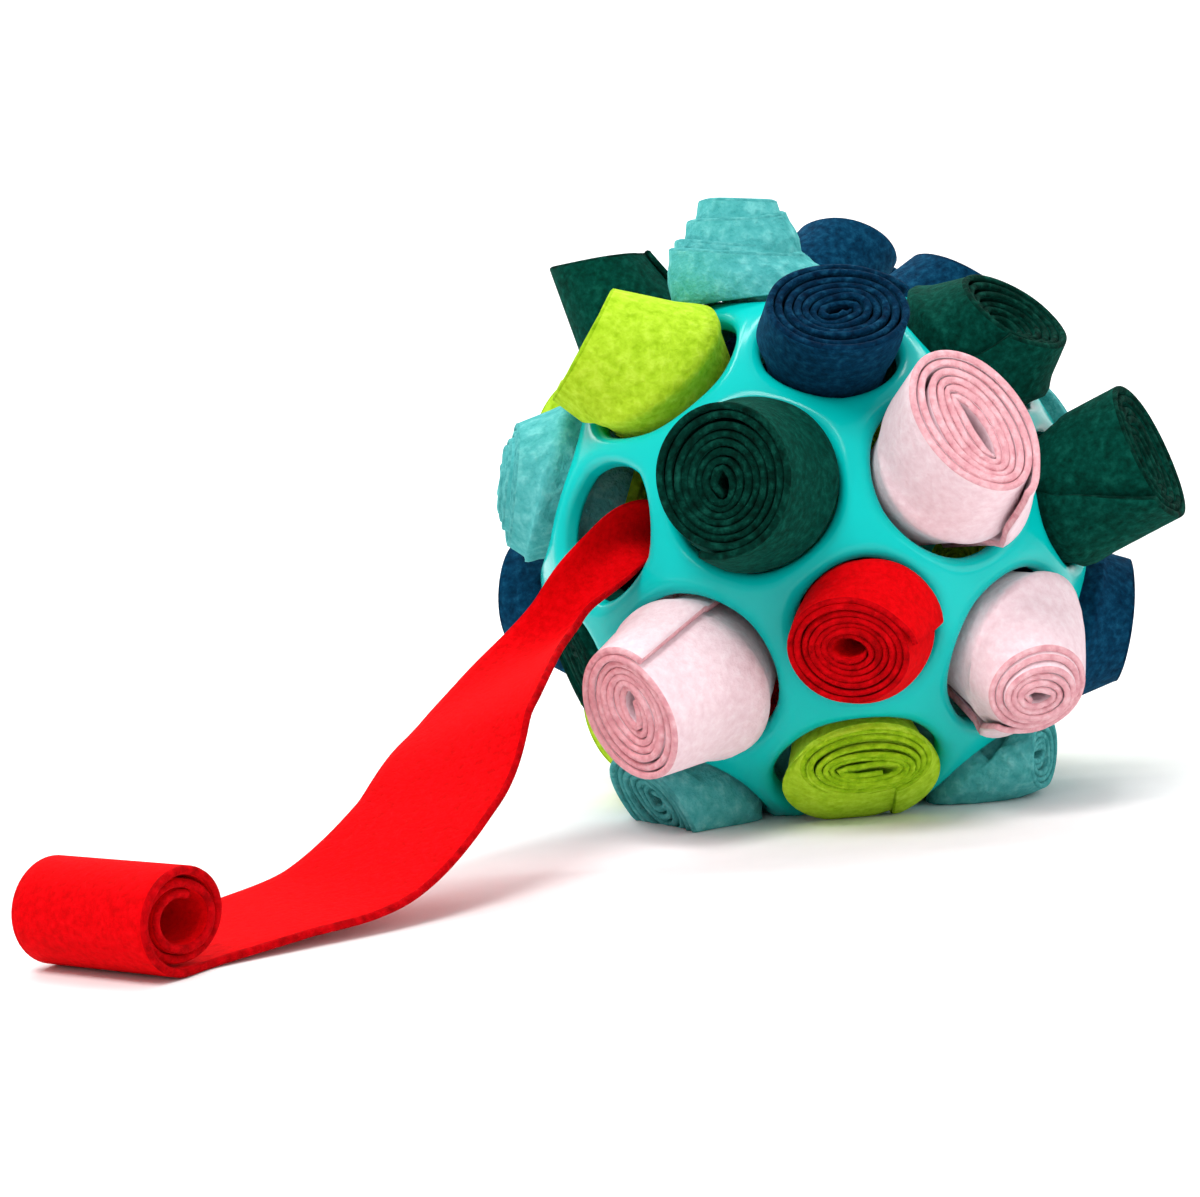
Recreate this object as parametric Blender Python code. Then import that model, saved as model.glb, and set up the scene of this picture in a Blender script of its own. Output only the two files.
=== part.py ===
"""Dog snuffle ball: a soft rubber lattice ball with a rolled strip of fleece in every hole but one.

Through the open hole a red felt strip comes out, runs down to the floor and ends in a loose roll.
The ball stands on the ring round its lowest hole. Metres, +Z up. The origin is on the floor, straight
below the ball's centre.
"""

import math

import bmesh
import bpy
import numpy as np

MM = 0.001

# --- The ball ---------------------------------------------------------------------------------------
BALL_RADIUS = 70 * MM
REST_HEIGHT = 62.5 * MM  # the ball's centre above the floor: the ring it stands on is pressed flat
PRESS_FADE = 8 * MM  # cloth this far outside the rubber isn't pushed up with it
WALL = 5.5 * MM
LIP = 2.0 * MM  # the chamfer round each hole's edges
SMALL_HOLE = math.radians(14.4)  # half the angle that a hole takes up, seen from the ball's centre
LARGE_HOLE = math.radians(17.5)
CORNER_PULL = 0.18  # how far a hole's outline follows the corners of its cell
EDGE_STEPS = 3  # points along each edge of a cell
BALL_TURN = math.radians(-83.6)  # heading of the small holes round the top

# --- The fleece rolls -------------------------------------------------------------------------------
ROLL_ROOT = 50 * MM  # distance of a roll's inner end from the ball's centre
ROLL_SIDES = 14
SMALL_GAP = 0.35 * MM  # between a roll and the round that its hole is cut to
LARGE_GAP = -0.1 * MM  # the large holes' flat sides stand back further from it
BOTTOM_GAP = 0.35 * MM
HELD_FROM = 12 * MM  # from this depth on, a roll follows the sides of its hole
CLEAR_OF_EDGE = 0.5 * MM
SWELL_SHARE = 0.35  # a roll is fullest at this share of its rise
SWELL_TOP = 6 * MM  # but no higher than this
SWELL_AXES = 0.6  # share of the change from the hole's round to the end's oval that is done there
END_ROUND = 1.5 * MM  # the end's edge
END_FLAT = 0.93  # inside this share of its size, the end's edge is no longer rounded
END_INNER = 0.45  # the share of its size where the end's middle turns lie
SUNK_SHARE = 0.55  # how much of the dish is reached there where the middle is sunk
RAISED_SHARE = 0.9  # and where it stands out
DRAPED_FROM = 0.6  # from this hang on, the cloth lies over the edge of its hole
DRAPED_OVER = 1.8 * MM
BEND_BELOW = 0.4  # share of the end's turn that the roll already has right above the rubber
CLOTH = 2.0 * MM  # thickness of the fleece, and the step at a roll's outer edge

# One row for each roll. polar and heading (degrees) find its hole; rise is how far its outer end stands
# above the ball (below zero: it stays inside the hole), east and north how far it leans along the surface,
# hang the share of that lean which it has right above the rubber, slack how far it has pulled away from
# the far side of its hole, nod and swing how far its end turns to face north and east (degrees), wide and
# tall the half axes of its end, turn the tilt of that oval, seam the heading of its outer edge, dish how
# far its middle is sunk (or, below zero, how far it stands out). Lengths are in millimetres.
ROLLS = [
    # name, cloth, polar, heading, rise, east, north, hang, slack, nod, swing, wide, tall, turn, seam, dish
    ("roll_top", "teal", 0, 0, 8, -14.7, 0, 0.8, 0, 0, 6, 21.4, 19, 0, 200, -14.5),
    ("roll_crown_front", "navy", 37, -84, 16, 0, -8, 0.3, 0, 0, 0, 18, 17, 0, 20, 2),
    ("roll_crown_right", "navy", 37, 36, 14, -5, -2, 0.3, 0, 0, -5, 16.5, 15, 0, 290, 2),
    ("roll_crown_left", "green", 37, 156, 25, 0, 5, 0.3, 0, 30, 0, 14, 14, 0, 100, 1),
    ("roll_shoulder_right", "green", 42, -24, 13, -6, -4, 0.3, 0, 4, -10, 15.5, 15, 35, 200, 6),
    ("roll_shoulder_left", "lime", 42, -144, 12, -13, -5, 0.45, 2.5, -10, -30, 18.5, 15.5, 0, 200, 2),
    ("roll_shoulder_back", "navy", 42, 96, 25, -25, 10, 0.3, 0, 5, -20, 15, 13, 0, 200, 2),
    ("roll_upper_front_left", "green", 70, -106, 23, -1, -5, 0.3, 0, -5, -3, 16.5, 18.5, 10, 250, 3),
    ("roll_upper_front_right", "pink", 70, -61, 24, -9, 4, 0.3, 0, 8, -14, 20, 13, -74, 290, 2),
    ("roll_upper_right", "teal", 70, 14, 1.5, 0, 0, 0.3, 0, 0, 0, 19, 19, 0, 60, 1),
    ("roll_upper_back_right", "lime", 70, 59, 18, 2, 3, 0.3, 0, 4, 3, 17, 18, 0, 140, 3),
    ("roll_upper_back_left", "lime", 70, 134, 18, 2, 8, 0.3, 0, 12, 0, 16, 15, 30, 210, -4),
    ("roll_upper_left", "teal", 70, 179, 8.5, 0, -3, 0.3, 0, -10, 4, 17, 16.5, 0, 300, -3),
    ("roll_belt_right", "green", 79, -24, 22, -1, 6, 0.3, 0, 12, 0, 15, 18, 0, 160, 3),
    ("roll_belt_back", "pink", 79, 96, 20, 3, 1, 0.3, 0, 0, 5, 17, 16, 0, 260, 2),
    ("roll_belt_front", "red", 101, -84, 14, -7, 0, 0.3, 0, 0, -16, 15.2, 13, -12, 10, 1),
    ("roll_belt_far_right", "lime", 101, 36, 15, -2, 3, 0.3, 0, 5, 0, 16, 15, 0, 40, 2),
    ("roll_belt_far_left", "navy", 101, 156, 12, 0, 8, 0.3, 0, 15, 0, 15.5, 15, 0, 180, 2),
    ("roll_lower_front_right", "pink", 110, -46, 14, -11, -2, 0.3, 0, -6, -24, 13.5, 12, 10, 240, -3),
    ("roll_lower_right", "navy", 110, -1, 11, 1, 5, 0.3, 0, 10, 0, 15.5, 16.5, 0, 330, 2),
    ("roll_lower_back_right", "green", 110, 74, 17, 2, 2, 0.3, 0, 3, 3, 17, 17, 0, 70, 3),
    ("roll_lower_back_left", "pink", 110, 119, 20, -3, 2, 0.3, 0, 3, -4, 18, 15, 25, 10, 2),
    ("roll_lower_left", "green", 110, -166, -2.5, 0, 0, 0, 0, 0, 0, 18.5, 18.5, 0, 100, 1),
    ("roll_lower_front_left", "pink", 110, -121, 23, -4, 3, 0.3, 0, 3, -14, 15, 17, 0, 60, 2),
    ("roll_foot_front", "lime", 138, -84, 2, 0, 8, 0.5, 2, 18, 0, 18, 13, 0, 300, -2),
    ("roll_foot_right", "navy", 138, 36, 8, 0, 9, 0.3, 0, 22, 0, 16, 15, 0, 200, 2),
    ("roll_foot_left", "lime", 138, 156, 5, -3, 16, 0.3, 0, 24, 0, 12, 12.5, 0, 45, 2),
    ("roll_low_right", "teal", 143, -24, 6, 0, 15, 0.3, 0, 50, 5, 15, 9.5, -8, 150, 2),
    ("roll_low_left", "teal", 143, -144, 9, 0, 10, 0.3, 0, 24, -6, 16, 15, 0, 90, 2),
    ("roll_low_back", "red", 143, 96, 8, 2, 9, 0.3, 0, 22, 0, 15, 14, 0, 220, 2),
]
BOTTOM_ROLL = ("roll_bottom", "teal")  # pressed flat under the ball

# --- The red strip ----------------------------------------------------------------------------------
STRIP_WIDTH = 38 * MM
STRIP_THICK = 2.0 * MM
# The middle of the strip from the floor roll up into the ball's open hole, and the tilt of its width
# about its own run (degrees). Places are in millimetres.
STRIP_ROUTE = [
    # x, y, z, tilt
    (-160, -165.5, 1, 0),
    (-152, -155.5, 1.3, 0.5),
    (-134, -142, 4, 3),
    (-114, -127, 8, 6),
    (-97.5, -108, 21, -1),
    (-87.5, -90, 36, -14),
    (-77, -75, 46, -13),
    (-66, -62.5, 54.5, 4),
    (-57, -54.5, 65, 40),
    (-48.3, -45.8, 74, 74),
    (-40, -38, 73.5, 80),
]
ROUTE_STEPS = 4  # points along each stretch of the route
NECK_WIDTH = 16 * MM  # the strip's width where the hole gathers it
NECK_FROM = 0.52  # share of the route where it starts to gather
NECK_RUN = 0.22
ROLL_HALF_WIDE = 13.4 * MM
ROLL_HALF_TALL = 12.2 * MM
ROLL_WALL = 5.6 * MM  # three turns of felt
ROLL_POINTS = 26
ROLL_LENGTH = 42 * MM  # a little over the strip's width, because its loose turns stand past each other

CLOTH_COLOURS = {
    "teal": (0.20, 0.60, 0.58),
    "green": (0.0, 0.07, 0.04),
    "navy": (0.003, 0.03, 0.10),
    "lime": (0.42, 0.68, 0.02),
    "pink": (0.87, 0.66, 0.70),
    "red": (0.78, 0.0, 0.006),
}
RUBBER_COLOUR = (0.0, 0.60, 0.56)


def unit(v):
    return np.asarray(v, float) / np.linalg.norm(v)


def material(name, colour, roughness):
    made = bpy.data.materials.new(name)
    made.use_nodes = True
    shader = made.node_tree.nodes["Principled BSDF"]
    shader.inputs["Base Color"].default_value = (*colour, 1.0)
    shader.inputs["Roughness"].default_value = roughness
    shader.inputs["Metallic"].default_value = 0.0
    return made


def solid(name, verts, faces, finish, parent, seat):
    """One closed object from world points and faces, on its parent, with its own origin at seat (measured
    from the parent)."""
    mesh = bpy.data.meshes.new(name)
    origin = np.array(parent.location) + seat
    mesh.from_pydata([tuple(map(float, v - origin)) for v in verts], [], faces)
    bm = bmesh.new()
    bm.from_mesh(mesh)
    bmesh.ops.remove_doubles(bm, verts=bm.verts, dist=1e-6)
    bmesh.ops.triangulate(bm, faces=bm.faces)
    bmesh.ops.recalc_face_normals(bm, faces=bm.faces)
    if bm.calc_volume(signed=True) < 0:
        bmesh.ops.reverse_faces(bm, faces=bm.faces)
    bm.to_mesh(mesh)
    bm.free()
    mesh.shade_smooth()
    mesh.set_sharp_from_angle(angle=math.radians(40))
    mesh.materials.append(finish)
    made = bpy.data.objects.new(name, mesh)
    bpy.context.collection.objects.link(made)
    made.parent = parent
    made.location = seat
    return made


# --- Where the holes are ----------------------------------------------------------------------------
def lattice():
    """The 12 small and 20 large hole directions: corners of an icosahedron and of its dual dodecahedron,
    turned so that one large hole looks straight down."""
    gold = (1 + math.sqrt(5)) / 2
    small = []
    large = [(a, b, c) for a in (-1, 1) for b in (-1, 1) for c in (-1, 1)]
    for a in (-1, 1):
        for b in (-1, 1):
            small += [(0, a, b * gold), (a, b * gold, 0), (b * gold, 0, a)]
            large += [(0, b * gold, a / gold), (b * gold, a / gold, 0), (a / gold, 0, b * gold)]
    small = [unit(v) for v in small]
    large = [unit(v) for v in large]
    up = unit((1, 1, 1))
    # three small holes lie nearest to the top: one of them, always the same, sets the ball's turn
    beside = max(small, key=lambda v: (round(float(v @ up), 6), round(float(v[0]), 6)))
    out = unit(beside - up * (beside @ up))
    side = np.cross(up, out)
    east = np.array((math.cos(BALL_TURN), math.sin(BALL_TURN), 0))
    north = np.array((-math.sin(BALL_TURN), math.cos(BALL_TURN), 0))

    def place(v):
        return east * (v @ out) + north * (v @ side) + np.array((0, 0, 1)) * (v @ up)

    return [(place(v), SMALL_HOLE) for v in small] + [(place(v), LARGE_HOLE) for v in large]


def hole_near(holes, polar, heading):
    polar, heading = math.radians(polar), math.radians(heading)
    wanted = np.array((
        math.sin(polar) * math.cos(heading),
        math.sin(polar) * math.sin(heading),
        math.cos(polar),
    ))
    return max(holes, key=lambda hole: float(hole[0] @ wanted))


def frame_at(direction):
    """East and north along the ball's surface, seen from outside."""
    sideways = np.cross((0, 0, 1), direction)
    east = unit(sideways) if np.linalg.norm(sideways) > 0.05 else np.array((1.0, 0.0, 0.0))
    return east, np.cross(direction, east)


# --- The rubber ball --------------------------------------------------------------------------------
def cell_outline(index, holes):
    """Directions round the middle of the rubber that surrounds one hole."""
    middle = holes[index][0]
    weighted = [direction / math.cos(angle) for direction, angle in holes]
    around = sorted(range(len(holes)), key=lambda k: -float(holes[k][0] @ middle))[1:]
    sides = 5 if holes[index][1] == SMALL_HOLE else 6
    east, north = frame_at(middle)
    around = sorted(
        around[:sides],
        key=lambda k: math.atan2(float(holes[k][0] @ north), float(holes[k][0] @ east)),
    )
    corners = []
    for k, after in enumerate(around[1:] + around[:1]):
        mine = weighted[index]
        corner = unit(np.cross(mine - weighted[around[k]], mine - weighted[after]))
        corners.append(corner if corner @ middle > 0 else -corner)
    outline = []
    for start, end in zip(corners, corners[1:] + corners[:1]):
        outline += [unit(start + (end - start) * step / EDGE_STEPS) for step in range(EDGE_STEPS)]
    return outline


def pressed(offset):
    """Where a point at this offset from the ball's centre goes, once the floor has pushed up the skin
    that lies in its direction."""
    lift = max(0.0, -float(unit(offset)[2]) * BALL_RADIUS - REST_HEIGHT)
    outside = max(0.0, float(np.linalg.norm(offset)) - BALL_RADIUS)
    lift *= max(0.0, 1 - outside / PRESS_FADE)
    return np.array((offset[0], offset[1], offset[2] + lift + REST_HEIGHT))


def ball_shell(holes, finish, ball):
    verts, faces = [], []
    for index, (middle, hole_angle) in enumerate(holes):
        outline = cell_outline(index, holes)
        spans = [math.acos(float(middle @ d)) for d in outline]
        rows = []
        for direction, span in zip(outline, spans):
            away = unit(direction - middle * (direction @ middle))
            edge = hole_angle + CORNER_PULL * (span - min(spans))
            lip = LIP / BALL_RADIUS
            profile = [
                (BALL_RADIUS, span),
                (BALL_RADIUS, edge + lip),
                (BALL_RADIUS - LIP, edge),
                (BALL_RADIUS - WALL + LIP, edge),
                (BALL_RADIUS - WALL, edge + lip),
                (BALL_RADIUS - WALL, span),
            ]
            row = []
            for radius, angle in profile:
                ray = middle * math.cos(angle) + away * math.sin(angle)
                row.append(pressed(ray * radius))
            rows.append(row)
        for row, after in zip(rows, rows[1:] + rows[:1]):
            for k in range(len(row) - 1):
                first = len(verts)
                verts += [row[k], row[k + 1], after[k + 1], after[k]]
                faces.append((first, first + 1, first + 2, first + 3))
    return solid("ball_shell", verts, faces, finish, ball, np.zeros(3))


# --- The rolls --------------------------------------------------------------------------------------
def spiral_outline(wide, tall, turn, seam):
    """A round of cloth: it starts at the seam and comes back one thickness further in."""
    points = []
    for k in range(ROLL_SIDES + 1):
        share = k / ROLL_SIDES
        angle = math.radians(seam - turn) + 2 * math.pi * share
        inset = CLOTH * share
        x, y = (wide - inset) * math.cos(angle), (tall - inset) * math.sin(angle)
        c, s = math.cos(math.radians(turn)), math.sin(math.radians(turn))
        points.append((x * c - y * s, x * s + y * c))
    return points


def loft(name, rings, ends, finish, ball, seat):
    """Rings of points joined along their length and closed by a point at each end."""
    count = len(rings[0])
    verts = [p for ring in rings for p in ring] + list(ends)
    faces = []
    for r in range(len(rings) - 1):
        for k in range(count):
            after = (k + 1) % count
            faces.append((r * count + k, r * count + after, (r + 1) * count + after, (r + 1) * count + k))
    top, bottom = len(verts) - 1, len(verts) - 2
    last = (len(rings) - 1) * count
    for k in range(count):
        after = (k + 1) % count
        faces.append((bottom, after, k))
        faces.append((top, last + k, last + after))
    return solid(name, verts, faces, finish, ball, seat)


def roll(row, holes, finish, ball):
    name, _, polar, heading, rise, east_lean, north_lean, hang, slack = row[:9]
    nod, swing, wide, tall, turn, seam, dish = row[9:]
    middle, hole_angle = hole_near(holes, polar, heading)
    east, north = frame_at(middle)
    rise, wide, tall, dish, slack = rise * MM, wide * MM, tall * MM, dish * MM, slack * MM
    lean = (east * east_lean + north * north_lean) * MM
    pulled = unit(lean) * slack if slack else np.zeros(3)
    tip = BALL_RADIUS + rise
    gap = LARGE_GAP if hole_angle == LARGE_HOLE else SMALL_GAP
    draped = hang > DRAPED_FROM
    rim = BALL_RADIUS * math.cos(hole_angle)
    shoulder = BALL_RADIUS + min(SWELL_SHARE * rise, SWELL_TOP) * (1 - hang / 2)
    if draped:
        shoulder = rim + DRAPED_OVER

    def facing(share, onward=middle):
        """Which way an outline faces that has this share of the end's turn."""
        nodded, swung = math.radians(nod * share), math.radians(swing * share)
        return unit(onward + north * math.tan(nodded) + east * math.tan(swung))

    def ring(radius, lean_share, bend, half_w, half_t, back=0.0):
        """One outline across the roll, square to its run there, and back along it."""
        over = unit(middle * radius + (lean * lean_share if lean_share else pulled))
        run = facing(bend, over if lean_share < 1 else middle)
        across = unit(east - run * (east @ run))
        along = np.cross(run, across)
        start = over * radius if lean_share < 1 else middle * radius + lean - run * back
        outline = spiral_outline(half_w, half_t, turn, seam)
        return [start + across * x + along * y for x, y in outline]

    def neck(radius):
        """The roll's radius where the hole holds it: the hole's sides point at the ball's centre."""
        return radius * math.sin(hole_angle) - gap - slack

    rings = []
    for radius in (ROLL_ROOT, BALL_RADIUS - HELD_FROM, BALL_RADIUS - WALL):
        rings.append(ring(radius, 0.0, 0.0, neck(radius), neck(radius)))
    if rise > 0:
        radius = rim + CLEAR_OF_EDGE if draped else BALL_RADIUS - CLEAR_OF_EDGE
        rings.append(ring(radius, 0.0, 0.0, neck(radius), neck(radius)))
        base = neck(BALL_RADIUS)
        half_w, half_t = base + (wide - base) * SWELL_AXES, base + (tall - base) * SWELL_AXES
        rings.append(ring(shoulder, hang, BEND_BELOW, half_w, half_t))
    rings.append(ring(tip, 1.0, 1.0, wide, tall, END_ROUND))
    rings.append(ring(tip, 1.0, 1.0, wide * END_FLAT, tall * END_FLAT))
    sunk = dish * (SUNK_SHARE if dish > 0 else RAISED_SHARE)
    rings.append(ring(tip, 1.0, 1.0, wide * END_INNER, tall * END_INNER, sunk))
    ends = [middle * ROLL_ROOT, middle * tip + lean - facing(1.0) * dish]
    made = [[floored(pressed(p)) for p in ring] for ring in rings]
    return loft(name, made, [floored(pressed(p)) for p in ends], finish, ball, middle * BALL_RADIUS)


def floored(point):
    """Cloth that would hang below the floor lies flat on it."""
    return np.array((point[0], point[1], max(0.0, float(point[2]))))


def bottom_roll(finish, ball):
    """The roll under the ball, from its inner end down to a flat face on the floor."""
    rings = []
    for height, radius in (
        (REST_HEIGHT - ROLL_ROOT, ROLL_ROOT * math.sin(LARGE_HOLE) - BOTTOM_GAP),
        (5 * MM, (BALL_RADIUS - WALL) * math.sin(LARGE_HOLE) - BOTTOM_GAP / 2),
        (0.0, (BALL_RADIUS - WALL) * math.sin(LARGE_HOLE) - BOTTOM_GAP * 2),
    ):
        outline = spiral_outline(radius, radius, 0, 30)
        rings.append([np.array((x, y, height)) for x, y in outline])
    ends = [np.array((0, 0, REST_HEIGHT - ROLL_ROOT)), np.zeros(3)]
    return loft(BOTTOM_ROLL[0], rings, ends, finish, ball, np.array((0, 0, -REST_HEIGHT)))


# --- The red strip ----------------------------------------------------------------------------------
def smooth_route(rows, steps):
    """A Catmull-Rom curve through the rows."""
    rows = np.array(rows, float)
    rows = np.vstack([2 * rows[0] - rows[1], rows, 2 * rows[-1] - rows[-2]])
    out = []
    for i in range(1, len(rows) - 2):
        a, b, c, d = rows[i - 1 : i + 3]
        for k in range(steps):
            t = k / steps
            out.append(0.5 * (2 * b + (c - a) * t + (2 * a - 5 * b + 4 * c - d) * t**2
                              + (3 * b - a - 3 * c + d) * t**3))
    out.append(rows[-2])
    return np.array(out)


def red_strip(finish, ball):
    """One piece of felt: a thick wound ring on the floor, then the loose strip up into the ball."""
    route = smooth_route(STRIP_ROUTE, ROUTE_STEPS)
    middles = route[:, :3] * MM
    runs = np.gradient(middles, axis=0)
    start_run = unit((runs[0][0], runs[0][1], 0))
    across = unit(np.cross((0, 0, 1), start_run))
    sections = []  # (inner middle, outer middle, half width vector) from the ring's inner end outwards
    hub = middles[0] + np.array((0, 0, ROLL_HALF_TALL)) - np.array((0, 0, STRIP_THICK / 2))
    for k in range(ROLL_POINTS):
        share = k / ROLL_POINTS
        angle = -math.pi / 2 + 0.12 - (1 - share) * (2 * math.pi - 0.30)
        grow = min(1.0, (1 - share) / 0.12)
        wall = STRIP_THICK + (ROLL_WALL - STRIP_THICK) * grow
        out = start_run * math.cos(angle) * ROLL_HALF_WIDE
        outer = hub + out + np.array((0, 0, math.sin(angle) * ROLL_HALF_TALL))
        inner_wide, inner_tall = ROLL_HALF_WIDE - wall, ROLL_HALF_TALL - wall
        inner = hub + start_run * math.cos(angle) * inner_wide
        inner = inner + np.array((0, 0, math.sin(angle) * inner_tall))
        sections.append((inner, outer, across * ROLL_LENGTH / 2))
    neck_from = len(middles) * NECK_FROM
    for k, middle in enumerate(middles):
        run = unit(runs[k])
        width = unit(np.cross((0, 0, 1), run))
        normal = np.cross(run, width)
        tilt = math.radians(route[k][3])
        width, normal = (
            width * math.cos(tilt) + normal * math.sin(tilt),
            normal * math.cos(tilt) - width * math.sin(tilt),
        )
        gather = min(1.0, max(0.0, (k - neck_from) / (NECK_RUN * len(middles))))
        half = (STRIP_WIDTH + (NECK_WIDTH - STRIP_WIDTH) * gather) / 2
        if k > 1:
            sections.append((middle + normal * STRIP_THICK / 2, middle - normal * STRIP_THICK / 2, width * half))
    verts, faces = [], []
    for inner, outer, half in sections:
        verts += [floored(p) for p in (inner + half, inner - half, outer - half, outer + half)]
    for k in range(len(sections) - 1):
        for side in range(4):
            after = (side + 1) % 4
            faces.append((4 * k + side, 4 * k + after, 4 * k + 4 + after, 4 * k + 4 + side))
    last = 4 * (len(sections) - 1)
    faces += [(3, 2, 1, 0), (last, last + 1, last + 2, last + 3)]
    return solid("red_strip", verts, faces, finish, ball, np.array((*hub[:2], -REST_HEIGHT)))


def main():
    for old in list(bpy.data.objects):
        bpy.data.objects.remove(old)
    rubber = material("rubber", RUBBER_COLOUR, 0.25)
    cloths = {name: material(f"{name}_cloth", colour, 0.95) for name, colour in CLOTH_COLOURS.items()}
    ball = bpy.data.objects.new("ball_centre", None)
    ball.location = (0, 0, REST_HEIGHT)
    bpy.context.collection.objects.link(ball)
    holes = lattice()
    ball_shell(holes, rubber, ball)
    for row in ROLLS:
        roll(row, holes, cloths[row[1]], ball)
    bottom_roll(cloths[BOTTOM_ROLL[1]], ball)
    red_strip(cloths["red"], ball)


main()
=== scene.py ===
"""Looks of the dog snuffle ball: a glossy rubber lattice ball, a wound strip of fleece in every hole but
one, and a red felt strip that runs from the open hole down to a loose roll on the floor.

Metres, +Z up, the origin on the floor straight below the ball's centre. Lengths in the tables are in
millimetres and angles in degrees.
"""

import math

import bmesh
import bpy
import numpy as np
from mathutils import Matrix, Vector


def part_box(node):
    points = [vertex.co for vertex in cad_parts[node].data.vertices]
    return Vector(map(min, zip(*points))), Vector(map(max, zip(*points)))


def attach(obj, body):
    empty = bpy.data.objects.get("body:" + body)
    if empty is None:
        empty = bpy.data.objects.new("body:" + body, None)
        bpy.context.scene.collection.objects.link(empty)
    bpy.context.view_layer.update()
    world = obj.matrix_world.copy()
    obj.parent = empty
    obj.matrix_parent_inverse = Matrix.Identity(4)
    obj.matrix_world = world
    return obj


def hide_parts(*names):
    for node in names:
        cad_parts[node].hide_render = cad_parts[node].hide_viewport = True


MM = 0.001
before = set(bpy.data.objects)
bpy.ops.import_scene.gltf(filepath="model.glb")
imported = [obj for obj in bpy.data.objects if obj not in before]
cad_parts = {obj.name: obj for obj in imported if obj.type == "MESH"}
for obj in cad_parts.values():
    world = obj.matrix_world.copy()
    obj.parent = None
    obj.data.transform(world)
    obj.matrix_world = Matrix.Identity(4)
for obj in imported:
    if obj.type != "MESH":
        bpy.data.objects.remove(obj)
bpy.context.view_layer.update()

# --- The ball, from the frame -----------------------------------------------------------------------
SHELL_LOW, SHELL_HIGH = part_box("ball_shell")
BALL_RADIUS = round((SHELL_HIGH.x - SHELL_LOW.x) / 2, 3)
REST_HEIGHT = SHELL_LOW.z + 62.5 * MM  # the ball's centre above the floor
SMALL_HOLE = math.radians(14.4)  # half the angle a hole takes up, seen from the ball's centre
LARGE_HOLE = math.radians(17.5)
BALL_TURN = math.radians(-83.6)  # heading of the small holes round the top
WALL = 5.5 * MM
LIP = 2.6 * MM  # how deep the smooth fillet round a hole goes
FILLET = 4.2 * MM  # how far from the hole's edge it starts
CORNER_PULL = 0.18  # how far the open hole's outline follows the corners of its cell
SNUG_PULL = 0.06  # and that of a filled hole
OPEN_HOLE = (79, -144)  # polar and heading
EDGE_STEPS = 12  # points along each side of a cell
RIB_STEPS = 5  # from mid-rib to the fillet
FILLET_STEPS = 8
FILLET_MOST = 0.8  # the most of a rib's half width that the fillet takes up
INNER_ROUND = 1.2 * MM  # the round at the hole's inner edge
INNER_STEPS = 4
MERGED = 0.02 * MM  # neighbouring cells' points closer than this are one

# --- The rolls --------------------------------------------------------------------------------------
ROLL_ROOT = 50 * MM  # distance of a roll's inner end from the ball's centre
GAP = 0.15 * MM  # between a roll and the sides of its hole
BULGE = 0.9 * MM  # how far the cloth swells over the rubber above its hole
DRAPED_FROM = 0.6  # from this hang on, the cloth lies over the edge of its hole
SWELL_AXES = 0.38  # share of the change from the hole's round to the end's oval that is done there
BEND_BELOW = 0.4  # share of the end's turn that the roll already has right above the rubber
DRAPED_OVER = 1.8 * MM  # how far above the edge such cloth is widest
STARTS_OVER = 0.5 * MM  # and where it starts to spread
SWELL_SHARE = 0.35  # other rolls are widest at this share of their rise
SWELL_TOP = 6 * MM  # but no higher than this
AT_RUBBER = 0.8 * MM  # how far below and above the rubber's surface the swelling begins and is full
CLOTH = 1.75 * MM  # thickness
STEP_ALONG = 1.7 * MM  # length of a face along the strip
ROWS_UP = 15
FINE_ROWS = 240  # rows that the roll's shape is worked out on
HIDDEN_ROW = 0.6  # the one row between the inner end and where it shows, as a share of that length
EASE = 0.8 * MM  # over this height the roll's shape is rounded off
ROLL_SHOWN = 65 * MM  # further out than this from the ball's centre, a roll can be seen
LEAST_SHOWN = 0.13  # the share of its length over which even a short roll has its close rows
PACKED = 0.92  # the cloth's share of the room between one turn and the next
STEPS_IN_FROM = 0.62  # an outer turn stays round up to this share of it, then steps in
HELD_TURNS = (0.9, 3.0)  # the turns over which that stepping fades into an even spiral
OVAL = 0.20  # how far out of round the inner turns lie
OFF_MIDDLE = 0.10  # and how far off the middle
WOBBLE = 0.10  # of the room between one turn and the next
LOOSE_OVER = 0.10  # the outer edge stands off over this part of a turn
SLANT = 14  # the most that a strip's outer edge is off square (degrees), for rolls not named below
SLANTS = {"roll_belt_right": 75}
SLANT_OVER = 0.8  # turns over which that slant fades
NEAR_END = 0.45  # what is uneven grows from this share of the length on
SUNK_POWER = 1.1
RAISED_OVER = (0.03, 0.50)  # the shares of the radius, from outside, over which raised turns rise
TELESCOPED = -8  # from this dish on, the turns lean in as they stand out
LEAN_IN_FROM = 0.84  # share of the length
LEAN_IN = 0.9  # of the room between one turn and the next
RAGGED = 0.7 * MM  # how far the turns' cut edges differ in height
PRESS_FADE = 8 * MM  # cloth this far outside the rubber isn't pushed up with it
ON_FLOOR = 0.05 * MM  # cloth that would lie lower is laid flat
FLATTENED = 0.004  # the share of its depth that it keeps

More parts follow.
